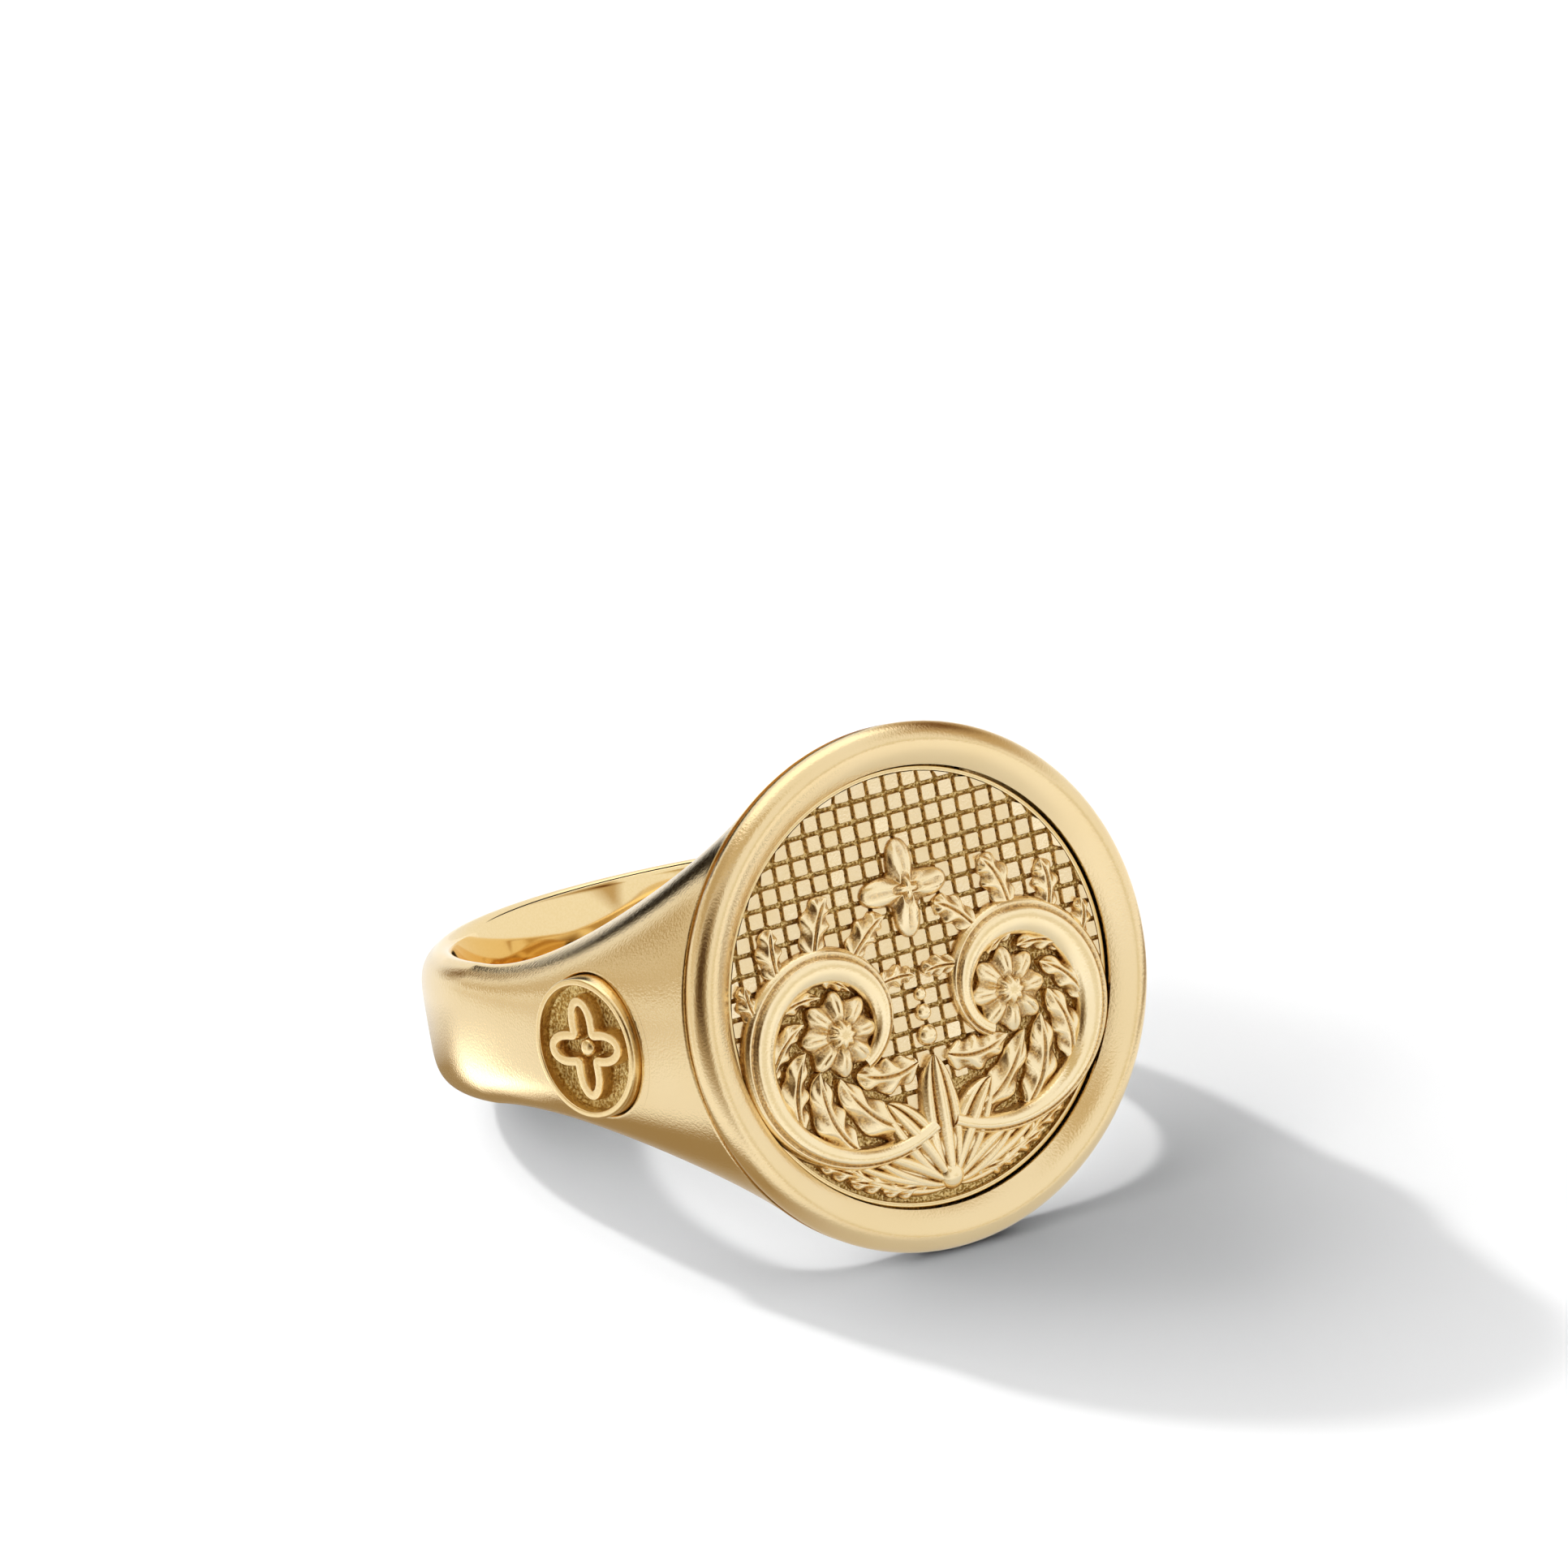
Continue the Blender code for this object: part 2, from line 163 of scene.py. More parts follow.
def goldFinish(name, finish):
    # Cast gold: metal colour that drifts a little over millimetres, a fine grain in roughness and bump, and where the
    # piece has an attribute, a second finish that it leads to: polished, or rough and bumpy with its colour painted
    # as shade and its grain flecks painted dark and bright as painted shade and painted glints.
    material = bpy.data.materials.new(name)
    material.use_nodes = True
    tree = material.node_tree
    tree.nodes.clear()
    place = node(tree, "ShaderNodeTexCoord").outputs["Object"]
    drift = node(tree, "ShaderNodeTexNoise", None, Vector=place, Scale=1000.0 / finish["driftMm"], Detail=2.0)
    grain = node(tree, "ShaderNodeTexNoise", None, Vector=place, Scale=1000.0 / finish["grainMm"], Detail=2.0)
    height = grain.outputs["Fac"]
    colour = node(
        tree, "ShaderNodeMix", {"data_type": "RGBA"},
        i0=drift.outputs["Fac"], i6=linear(finish["warm"]), i7=linear(finish["pale"]),
    ).outputs[2]
    rough = node(
        tree, "ShaderNodeMapRange", None,
        Value=height, To_Min=finish["rough"][0], To_Max=finish["rough"][1],
    ).outputs["Result"]
    # Grain flecks painted dark and bright in the second finish: painted shade and painted glints.
    paintedSparkle = node(
        tree, "ShaderNodeMapRange", {"interpolation_type": "SMOOTHSTEP"},
        Value=height, From_Min=0.36, From_Max=0.64,
    ).outputs["Result"]
    other = node(
        tree, "ShaderNodeMix", {"data_type": "RGBA"},
        i0=paintedSparkle, i6=linear(finish["otherDark"]), i7=linear(finish["otherBright"]),
    ).outputs[2]
    # The attribute leads to the second finish; where it marks hollows and sunk ground, that colour is painted shade.
    lead = node(tree, "ShaderNodeAttribute", {"attribute_name": finish["attribute"]}).outputs["Fac"]
    colour = node(tree, "ShaderNodeMix", {"data_type": "RGBA"}, i0=lead, i6=colour, i7=other).outputs[2]
    rough = node(tree, "ShaderNodeMix", None, i0=lead, i2=rough, i3=finish["otherRough"]).outputs[0]
    bump = node(tree, "ShaderNodeMix", None, i0=lead, i2=finish["bump"], i3=finish["otherBump"]).outputs[0]
    normal = node(
        tree, "ShaderNodeBump", None,
        Strength=bump, Distance=0.001 * finish["grainMm"], Height=height,
    ).outputs["Normal"]
    surface = node(
        tree, "ShaderNodeBsdfPrincipled", None,
        Base_Color=colour, Metallic=1.0, Roughness=rough, Normal=normal,
    )
    node(tree, "ShaderNodeOutputMaterial", None, Surface=surface.outputs["BSDF"])
    return material


# Satin yellow gold: soft broad highlights outside, mirror polish in the finger hole.
satinGold = goldFinish("satin yellow gold", {
    "driftMm": 5.0, "grainMm": 0.09, "warm": "#e5cb97", "pale": "#ecd6ab", "rough": (0.12, 0.20),
    "bump": 0.13, "attribute": "polish", "otherDark": "#f3d9a2", "otherBright": "#f5dca8",
    "otherRough": 0.06, "otherBump": 0.0,
})
# Satin bead: a little smoother than the body, so that it carries longer highlights.
rimGold = goldFinish("satin bead gold", {
    "driftMm": 5.0, "grainMm": 0.09, "warm": "#eed4a0", "pale": "#f4deb3", "rough": (0.18, 0.27),
    "bump": 0.11, "attribute": "polish", "otherDark": "#e4c284", "otherBright": "#e8c88c",
    "otherRough": 0.08, "otherBump": 0.0,
})
# Sandblasted ground: rough grit, its grain painted in bright and dark flecks as painted glints and painted shade,
# which reads as a deeper, shaded gold from a distance.
groundGold = goldFinish("sandblasted ground gold", {
    "driftMm": 2.0, "grainMm": 0.10, "warm": "#f0d8a4", "pale": "#f6e2b6", "rough": (0.10, 0.16),
    "bump": 0.05, "attribute": "recess", "otherDark": "#94702f", "otherBright": "#eed496",
    "otherRough": 0.30, "otherBump": 0.8,
})
# Cut lattice: flat burnished tops that each catch the light a little differently, and down the sides rough grit, its
# colour painted as shade with dark and bright flecks of painted shade and painted glints.
latticeGold = goldFinish("burnished lattice gold", {
    "driftMm": 1.2, "grainMm": 0.10, "warm": "#f8e2b6", "pale": "#fdeed0", "rough": (0.16, 0.26),
    "bump": 0.08, "attribute": "recess", "otherDark": "#8a652a", "otherBright": "#e8cb88",
    "otherRough": 0.30, "otherBump": 0.7,
})
# Chased relief: burnished ridges, and tool-matted hollows painted darker as painted shade, with dark and bright
# flecks of painted shade and painted glints.
reliefGold = goldFinish("chased relief gold", {
    "driftMm": 1.5, "grainMm": 0.09, "warm": "#f8e1b0", "pale": "#fdecc6", "rough": (0.14, 0.24),
    "bump": 0.09, "attribute": "recess", "otherDark": "#98692c", "otherBright": "#d8b068",
    "otherRough": 0.32, "otherBump": 0.4,
})
# Struck badge: satin border; in the sunk ground rough grit painted as shade, with dark and bright flecks of painted
# shade and painted glints.
badgeGold = goldFinish("struck badge gold", {
    "driftMm": 2.0, "grainMm": 0.11, "warm": "#efd49c", "pale": "#f5deae", "rough": (0.16, 0.24),
    "bump": 0.07, "attribute": "recess", "otherDark": "#b38c45", "otherBright": "#f3dc9c",
    "otherRough": 0.32, "otherBump": 0.8,
})
# Burnished strap of the badge's knot, painted darker towards its foot as painted shade, with dark and bright flecks
# there of painted shade and painted glints.
knotGold = goldFinish("burnished knot gold", {
    "driftMm": 2.0, "grainMm": 0.11, "warm": "#eed29a", "pale": "#f5deae", "rough": (0.16, 0.24),
    "bump": 0.08, "attribute": "recess", "otherDark": "#b38c45", "otherBright": "#e2bd78",
    "otherRough": 0.32, "otherBump": 0.5,
})
print("materials done")

# Ring body: hoop, shoulders and head

body = {
    "boreRadius": 9.90, "boreFlare": 0.62, "hoopRadius": 11.60, "shankHalfWidth": 3.20, "edgeRounding": 0.50,
    "shankSquareness": 5.20, "headRadius": 9.40, "headFullAt": 12.15, "seatHeight": 12.15,
    "skinEnd": 11.60, "sidePower": 2.20, "flarePower": 2.16, "squarenessPower": 1.30,
    "sections": 400, "around": 200, "badgeForward": 7.55, "pocketRadius": 2.72, "pocketDepth": 1.00,
    "collarReach": 3.00, "headEdge": 0.03, "headGroove": 0.04, "bandFoot": 11.10,
}


def skinSizes(y):
    # Half breadth across, half width along the finger, and squareness: all follow the reach to the face.
    reach = np.clip(-y / body["headFullAt"], 0.0, 1.0)
    side = body["hoopRadius"] - (body["hoopRadius"] - body["headRadius"]) * reach ** body["sidePower"]
    flare = (body["headRadius"] - body["shankHalfWidth"]) * reach ** body["flarePower"]
    power = 2.0 + (body["shankSquareness"] - 2.0) * (1.0 - reach) ** body["squarenessPower"]
    return side, body["shankHalfWidth"] + flare, power


def skinLevel(x, y, z):
    # Superellipse across x and z, 1 on the skin: round at the head, squarer and narrower at the shank.
    side, half, power = skinSizes(y)
    spread = np.hypot(x, np.clip(y, 0.0, None))
    return ((spread / side) ** power + (np.abs(z) / half) ** power) ** (1.0 / power)


def skinDistance(x, y, z):
    # Level over its slope, near the skin a distance in millimetres.
    step = 0.0002
    level = skinLevel(x, y, z)
    slopes = [skinLevel(x + step, y, z), skinLevel(x, y + step, z), skinLevel(x, y, z + step)]
    slope = np.sqrt(sum(((there - level) / step) ** 2 for there in slopes))
    return (level - 1.0) / np.maximum(slope, 0.0001)


def bodyDistance(x, y, z):
    # Inside the skin and outside the finger hole, which opens out to both ends, with the edge between
    # them rounded, behind a plane.
    outer = skinDistance(x, y, z)
    flare = body["boreFlare"] * (np.abs(z) / skinSizes(y)[1]) ** 1.7
    hole = body["boreRadius"] + flare - np.hypot(x, y)
    rounding = body["edgeRounding"]
    corner = np.hypot(np.maximum(outer + rounding, 0.0), np.maximum(hole + rounding, 0.0))
    return np.maximum(np.minimum(-rounding, np.maximum(outer, hole)) + corner, -y - body["skinEnd"])


def halve(distance, low, high):
    # Halving search, on whole arrays, for where the distance turns from inside to outside.
    for _ in range(32):
        middle = 0.5 * (low + high)
        inside = distance(middle) < 0.0
        low, high = np.where(inside, middle, low), np.where(inside, high, middle)
    return 0.5 * (low + high)


def badgePlaces(side):
    # Where a badge sits on the shoulder's middle line: its point, outward normal and along direction.
    reach = body["badgeForward"] / body["headFullAt"]
    drop = body["hoopRadius"] - body["headRadius"]
    out = body["hoopRadius"] - drop * reach ** body["sidePower"]
    fall = drop * body["sidePower"] * reach ** (body["sidePower"] - 1.0) / body["headFullAt"]
    lean = math.atan(fall)
    point = np.array([side * out, -body["badgeForward"], 0.0])
    normal = np.array([side * math.cos(lean), -math.sin(lean), 0.0])
    return point, normal, np.array([-side * math.sin(lean), -math.cos(lean), 0.0]) * side


def ringBodyShells():
    # Rays from a circle inside the wall run out to the skin: angle round the hole, turn round the wall.
    even = np.linspace(-math.pi, math.pi, 4001)
    badgeAngle = math.atan2(-body["badgeForward"], badgePlaces(1.0)[0][0])
    weight = 1.0 + 1.4 * np.exp(-((even - badgeAngle) / 0.22) ** 2)
    weight += 1.4 * np.exp(-((even + math.pi + badgeAngle) / 0.22) ** 2)
    share = np.concatenate([[0.0], np.cumsum(0.5 * (weight[1:] + weight[:-1]))])
    share /= share[-1]
    angle = np.interp(np.linspace(0.0, 1.0, body["sections"], endpoint=False), share, even)
    cosA, sinA = np.cos(angle), np.sin(angle)
    middle = 0.5 * (body["boreRadius"] + body["hoopRadius"])
    outer = halve(
        lambda r: np.maximum(skinDistance(r * cosA, r * sinA, 0.0 * r), -r * sinA - body["skinEnd"]),
        np.full(len(angle), body["boreRadius"]), np.full(len(angle), 2.0 * body["hoopRadius"]),
    )
    half = halve(
        lambda h: skinDistance(middle * cosA, middle * sinA, h),
        np.zeros(len(angle)), np.full(len(angle), 1.3 * body["headRadius"]),
    )
    turn = np.linspace(0.0, 2.0 * math.pi, body["around"], endpoint=False)
    turn = turn + 0.15 * np.sin(4.0 * turn)
    wall = np.where(np.cos(turn) > 0.0, outer[:, None] - middle, middle - body["boreRadius"])
    out, up = wall * np.cos(turn), half[:, None] * np.sin(turn)
    cosA, sinA = cosA[:, None], sinA[:, None]
    scale = halve(
        lambda s: bodyDistance((middle + s * out) * cosA, (middle + s * out) * sinA, s * up),
        np.zeros(out.shape), np.full(out.shape, 3.0),
    )
    radius = middle + scale * out
    points = np.stack([radius * cosA, radius * sinA, scale * up], axis=-1)
    polish = smooth(1.25, 0.85, np.hypot(points[..., 0], points[..., 1]) - body["boreRadius"])
    for side in (-1.0, 1.0):
        # The pocket that carries a badge: skin under the badge moves in along the badge's normal.
        place, normal, _ = badgePlaces(side)
        offset = points - place
        rise = offset @ normal
        away = np.linalg.norm(offset - rise[..., None] * normal, axis=-1)
        sunk = (away < body["pocketRadius"]) & (np.abs(rise) < 2.0)
        points = points - np.where(sunk, body["pocketDepth"], 0.0)[..., None] * normal
    return [loft(points, True, polish=polish), headBand(), badgeCollar(-1.0), badgeCollar(1.0)]


def headBand():
    # Front of the head as closed superellipse loops, up to a true edge, then down a fine groove by the bead.
    edge, groove = body["headEdge"], body["headGroove"]
    front, foot = body["seatHeight"], body["bandFoot"]
    height = np.concatenate([
        np.linspace(foot, front - edge, 28), [front, front - groove, front - groove, foot]
    ])[:, None]
    inset = np.concatenate([np.full(28, -0.003), [edge, edge + groove, 1.20, 1.20]])[:, None]
    angle = np.linspace(0.0, 2.0 * math.pi, 400, endpoint=False)
    side, half, power = skinSizes(-height)
    level = (np.abs(np.cos(angle)) / side) ** power + (np.abs(np.sin(angle)) / half) ** power
    radius = level ** (-1.0 / power) - inset
    return loft(onFace(radius * np.cos(angle), radius * np.sin(angle), height), True, polish=0.0)


def badgeCollar(side):
    # Skin round a badge, found along the badge's normal, with a fine groove where the badge drops in.
    place, normal, way = badgePlaces(side)
    radius = np.array([2.50, 2.56, 2.58, 2.61, 2.64, 2.68, 2.74, 2.80, 2.88, 2.94, body["collarReach"]])[:, None]
    sunk = np.array([0.50, 0.22, 0.15, 0.07, 0.02, 0.004, 0.0, -0.002, -0.003, -0.004, -0.004])[:, None]
    angle = np.linspace(0.0, 2.0 * math.pi, 180, endpoint=False)
    flat = place + (radius * np.cos(angle))[..., None] * way
    flat = flat + (radius * np.sin(angle))[..., None] * np.array([0.0, 0.0, 1.0])
    rise = halve(
        lambda h: skinDistance(*np.moveaxis(flat + h[..., None] * normal, -1, 0)),
        np.full(flat.shape[:2], -1.5), np.full(flat.shape[:2], 1.0),
    )
    top = flat + (rise - sunk)[..., None] * normal
    under = top[[-1, 0]] - 0.35 * normal
    return loft(np.concatenate([top, under]), True, polish=0.0)


ringBody = makePiece("ringBody", ringBodyShells(), satinGold, ["ring_body"])

# Bezel rim: half-round bead with a polished wall down to the medallion

rim = {
    "crest": 8.80, "middle": 12.57, "round": 0.62, "lip": (7.89, 12.74), "lipPower": 1.6, "wallTurn": 12.20,
    "wallFoot": 11.55, "count": 320,
}


def beadProfile():
    # Round outside, from under the head's edge to the crest; a parabola inside, down to the lip; a straight wall.
    outer = arc((rim["crest"], rim["middle"]), (rim["round"], rim["round"]), -60.0, 90.0, 44)
    share = np.linspace(0.0, 1.0, 33)[1:]
    drop = rim["middle"] + rim["round"] - rim["lip"][1]
    inner = np.stack([
        rim["crest"] - (rim["crest"] - rim["lip"][0]) * share, rim["lip"][1] + drop * (1.0 - share ** rim["lipPower"])
    ], axis=-1)
    wall = [[rim["lip"][0], rim["wallTurn"]], [rim["lip"][0], rim["wallFoot"]], [rim["crest"], rim["wallFoot"]]]
    return np.concatenate([outer, inner, wall])


bead = beadProfile()
beadPolish = smooth(rim["lip"][1] - 0.05, rim["lip"][1] - 0.15, bead[:, 1]) * (bead[:, 0] < rim["crest"])
bezelRim = makePiece(
    "bezelRim", [loft(np.swapaxes(turned(bead, rim["count"]), 0, 1), True, polish=beadPolish)],
    rimGold, ["bezel_rim"],
)

# Medallion: sandblasted disc, and the cut lattice that stands on it

plate = {"radius": 7.82, "ground": 12.30, "edge": 12.52, "border": 0.16, "back": 11.50, "count": 200}
disc = np.concatenate([
    [[0.02, plate["ground"]]],
    np.stack([np.linspace(0.5, 7.5, 15), np.full(15, plate["ground"])], axis=-1),
    [[plate["radius"] - plate["border"] - 0.03, plate["ground"]]],
    arc((plate["radius"] - plate["border"] + 0.04, plate["edge"] - 0.04), (0.04, 0.04), 180.0, 90.0, 5),
    arc((plate["radius"] - 0.04, plate["edge"] - 0.04), (0.04, 0.04), 90.0, 0.0, 5),
    [[plate["radius"], plate["back"]], [0.02, plate["back"]]],
])
# The sunk ground is painted as shade, with dark and bright flecks of painted shade and painted glints; the raised
# border keeps the plain gold.
discShade = smooth(plate["ground"] + 0.10, plate["ground"] + 0.02, disc[:, 1:])
medallion = makePiece(
    "medallion", [loft(turned(disc, plate["count"]), recess=discShade)], groundGold, ["medallion_plate"],
)

# Relief: scrolls with leaves, a leaf cup and a flower

relief = {
    "foot": 12.28, "centre": (3.55, -0.90), "reach": 3.35, "decay": 0.19, "start": -128.0, "end": 235.0,
}


def spiralRadius(turn):
    # Logarithmic spiral: the radius shrinks by the same share for each equal turn.
    return relief["reach"] * np.exp(-relief["decay"] * turn)


def aroundScroll(turn, radius):
    # Face point at a turn and a radius about the scroll's centre.
    return np.stack([
        relief["centre"][0] + radius * np.cos(turn), relief["centre"][1] + radius * np.sin(turn)
    ], axis=-1)


def inScroll(across, along):
    # True inside the scroll's outer turn, and below it by the foot, where the ground is left bare.
    x, y = np.abs(across) - relief["centre"][0], along - relief["centre"][1]
    turn = np.arctan2(y, x)
    turn = np.where(turn < math.radians(relief["start"]), turn + 2.0 * math.pi, turn)
    return (np.hypot(x, y) < spiralRadius(turn)) | (along < -4.1)


def bend(points, count):
    # Smooth curve through a start, a handle and an end.
    t = np.linspace(0.0, 1.0, count)[:, None]
    a, b, c = [np.array(point) for point in points]
    return (1.0 - t) ** 2 * a + 2.0 * t * (1.0 - t) * b + t ** 2 * c


def strap(spine, half, height, recess, side=1.0):
    # A band along a spine: each row runs across from one edge to the other, then back along the foot.
    across = np.linspace(-1.0, 1.0, height.shape[1])
    along = np.gradient(spine, axis=0)
    along /= np.linalg.norm(along, axis=1)[:, None]
    normal = np.stack([along[:, 1], -along[:, 0]], axis=-1)
    x = spine[:, :1] + normal[:, :1] * half * across
    y = spine[:, 1:] + normal[:, 1:] * half * across
    top = onFace(side * x, y, height)
    foot = onFace(side * x[:, [-1, 0]], y[:, [-1, 0]], relief["foot"])
    loops = np.concatenate([top, foot], axis=1)
    # The foot, where the band meets the ground, is painted in full shade.
    shade = np.concatenate([recess, np.ones((len(spine), 2))], axis=1)
    return loft(loops, recess=shade)


def stem(side):
    # Scroll stem: a fat roll with one cut line by its outer edge, swelling to the turn, thinning to the rosette.
    share = np.linspace(0.0, 1.0, 220)[:, None]
    turn = np.radians(relief["start"] + (relief["end"] - relief["start"]) * share[:, 0])
    across = np.linspace(-1.0, 1.0, 33)
    half = 0.36 + 0.34 * smooth(0.0, 0.40, share) - 0.40 * smooth(0.55, 1.0, share)
    line = np.exp(-((across - 0.52) / 0.11) ** 2)
    back = np.sqrt(np.clip(1.0 - 0.96 * across ** 2, 0.0, 1.0))
    height = relief["foot"] + 0.18 + 0.56 * back * (1.0 - 0.40 * smooth(0.70, 1.0, share)) - 0.12 * line
    # Painted shade in the cut line and down the roll's flanks.
    recess = np.clip(0.9 * line + smooth(0.46, 0.22, back), 0.0, 1.0) + 0.0 * share
    return strap(aroundScroll(turn, spiralRadius(turn)), half, height, recess, side)


def leafHalf(t, width):
    # Half breadth of a leaf from its foot to its tip: widest before the middle, pointed at the end.
    return 1.75 * width * np.clip(t, 0.02, 1.0) ** 0.50 * np.clip(1.0 - t, 0.0, 1.0) ** 0.62


def leaf(path, width, lobes, lift, side):
    # Scroll leaf: a cut midrib, and lobes that slant back from it and scallop the edge.
    spine = bend(path, 80)
    t = np.linspace(0.0, 1.0, 80)[:, None]
    across = np.linspace(-1.0, 1.0, 33)
    wave = 2.0 * math.pi * lobes
    half = leafHalf(t, width) * (1.0 + 0.11 * np.cos(wave * (t - 0.16))) + 0.03
    valley = 0.5 - 0.5 * np.cos(wave * (t - 0.16 * np.abs(across)))
    outer = smooth(0.12, 0.55, np.abs(across)) * smooth(0.0, 0.15, t) * smooth(1.0, 0.85, t)
    rib = np.exp(-(across / 0.10) ** 2) * smooth(1.0, 0.7, t)
    back = np.sqrt(np.clip(1.0 - 0.90 * across ** 2, 0.0, 1.0))
    height = relief["foot"] + 0.16 + lift * (0.75 + 0.25 * np.sin(math.pi * t)) * back
    height = height - 0.11 * rib - 0.13 * valley * outer
    # Painted shade in the midrib, in the valleys between lobes and down the flanks.
    recess = np.clip(0.9 * rib + 0.9 * valley ** 3 * outer + smooth(0.46, 0.30, back), 0.0, 1.0)
    return strap(spine, half, height, recess, side)


def frond(path, width, lift, side):
    # Palmette leaf: domed across, with three round flutes from the foot to the tip.
    spine = bend(path, 90)
    t = np.linspace(0.0, 1.0, 90)[:, None]
    across = np.linspace(-1.0, 1.0, 43)
    ridge = np.abs(np.cos(1.5 * math.pi * across)) ** 0.55
    back = np.sqrt(np.clip(1.0 - 0.90 * across ** 2, 0.0, 1.0))
    swell = np.sin(math.pi * t)
    height = relief["foot"] + 0.16 + lift * (0.70 + 0.30 * swell) * back + 0.25 * (ridge - 1.0) * (0.5 + 0.5 * swell)
    # Painted shade in the hollows between flutes and down the flanks.
    recess = np.clip(1.5 * (1.0 - ridge) ** 1.5 + smooth(0.46, 0.30, back), 0.0, 1.0) + 0.0 * t
    return strap(spine, leafHalf(t, width) + 0.03, height, recess, side)


def rosette(centre, radius, wave, petals, lift, side, boss):
    # Petals as a wavy outline round a centre: domed out to the edge, creased between petals, with a boss.
    turn = np.linspace(0.0, 2.0 * math.pi, 144, endpoint=False)
    share = np.concatenate([[0.03], np.linspace(0.10, 1.0, 24)])[:, None]
    edge = radius + wave * np.cos(petals * turn)
    crease = np.abs(np.sin(0.5 * petals * turn)) ** 6
    back = np.sqrt(np.clip(1.0 - 0.92 * share ** 2.6, 0.0, 1.0))
    heart = np.exp(-(share / boss) ** 4)
    ditch = np.exp(-((share - 1.25 * boss) / (0.25 * boss)) ** 2)
    vein = np.exp(-(np.sin(0.5 * petals * turn) / 0.16) ** 2) * smooth(1.3 * boss, 2.0 * boss, share)
    vein = vein * smooth(1.0, 0.75, share)
    height = relief["foot"] + 0.16 + lift * back * (1.0 - 0.35 * crease * smooth(0.2, 0.6, share))
    height = height + 0.15 * heart - 0.10 * ditch - 0.06 * vein
    # Painted shade in the creases between petals, in the ditch round the boss, along the veins and down the flanks.
    recess = 0.8 * crease * smooth(0.2, 0.7, share) + 0.8 * ditch + 0.45 * vein + smooth(0.50, 0.26, back)
    x, y = side * centre[0] + share * edge * np.cos(turn), centre[1] + share * edge * np.sin(turn)
    loops = np.concatenate([onFace(x, y, height), onFace(x[-1:], y[-1:], relief["foot"])])
    return loft(loops, recess=np.concatenate([np.clip(recess, 0.0, 1.0), np.ones((1, len(turn)))]))


def pearl(along, radius):
    # Half a ball on the face's middle line, standing on a short round foot.
    turn = np.linspace(0.0, 2.0 * math.pi, 48, endpoint=False)
    lift = np.radians(np.linspace(88.0, 0.0, 16))[:, None]
    x, y = radius * np.cos(lift) * np.cos(turn), along + radius * np.cos(lift) * np.sin(turn)
    height = relief["foot"] + 0.22 + 0.9 * radius * np.sin(lift) + 0.0 * turn
    loops = np.concatenate([onFace(x, y, height), onFace(x[-1:], y[-1:], relief["foot"])])
    # Painted shade round the pearl's foot.
    return loft(loops, recess=np.concatenate([smooth(20.0, 4.0, np.degrees(lift)), [[1.0]]]))


# Leaves on a scroll: where each leaves the stem and how far round its handle and tip lie, in degrees about
# the scroll's middle; how far out from the stem its tip is, or for an inner leaf, its radius; and its width.
outerLeaves = [
    {"turn": 20.0, "sweep": 16.0, "length": 0.95, "width": 0.46},
    {"turn": 48.0, "sweep": 16.0, "length": 1.65, "width": 0.60},
    {"turn": 78.0, "sweep": 16.0, "length": 2.05, "width": 0.68},
    {"turn": 110.0, "sweep": 14.0, "length": 1.90, "width": 0.60},
    {"turn": 144.0, "sweep": 14.0, "length": 1.30, "width": 0.44},
]
innerLeaves = [
    {"turn": -150.0, "sweep": 46.0, "width": 0.72, "start": 3.35},
    {"turn": -122.0, "sweep": 44.0, "width": 0.74},
    {"turn": -90.0, "sweep": 44.0, "width": 0.74},
    {"turn": -56.0, "sweep": 44.0, "width": 0.66},
    {"turn": -20.0, "sweep": 46.0, "width": 0.54},
    {"turn": 20.0, "sweep": 48.0, "width": 0.42},
    {"turn": 64.0, "sweep": 50.0, "width": 0.32},
]
eyeRosette = {"radius": 1.42, "wave": 0.15, "petals": 8.0, "lift": 0.50, "boss": 0.30}


def leafPath(item, start, handle, end):
    # Foot, handle and tip of a scroll leaf, each from its turn and its radius about the scroll's middle.
    turns = np.radians(item["turn"] + item["sweep"] * np.array([0.0, 0.5, 1.0]))
    return aroundScroll(turns, np.array([start, handle, end]))


def scrollShells(side):
    shells = []
    for item in outerLeaves:
        edge = spiralRadius(math.radians(item["turn"])) + 0.25
        path = leafPath(item, edge, edge + 0.75 * item["length"], edge + item["length"])
        shells.append(leaf(path, item["width"], 3.0, 0.42, side))
    for item in innerLeaves:
        edge = item.get("start", spiralRadius(math.radians(item["turn"])) - 0.30)
        path = leafPath(item, edge, 0.70 * edge + 0.30 * eyeRosette["radius"], eyeRosette["radius"] + 0.15)
        shells.append(leaf(path, item["width"], 3.0, 0.38, side))
    shells.append(stem(side))
    shells.append(rosette(
        relief["centre"], eyeRosette["radius"], eyeRosette["wave"], eyeRosette["petals"], eyeRosette["lift"], side, eyeRosette["boss"],
    ))
    return shells


for label, side in (("Left", -1.0), ("Right", 1.0)):
    makePiece(
        "scroll" + label, scrollShells(side), reliefGold, ["scroll_" + label.lower()], sharp=60.0,
    )

cup = {
    "foot": (0.0, -7.15),
    "leaves": [
        {"turn": 80.0, "length": 4.70, "width": 0.66, "lift": 0.34},
        {"turn": 54.0, "length": 3.40, "width": 0.90, "lift": 0.42},
        {"turn": 27.0, "length": 4.00, "width": 1.00, "lift": 0.50},
        {"turn": 0.0, "length": 4.70, "width": 1.05, "lift": 0.58},
    ],
    "pearls": [(-1.75, 0.40), (-0.92, 0.32), (-0.26, 0.25)],
    "rimLeaves": {"turns": (8.0, 19.0, 30.0), "radius": 7.12, "sweep": 15.0, "width": 0.40, "lift": 0.30},
}


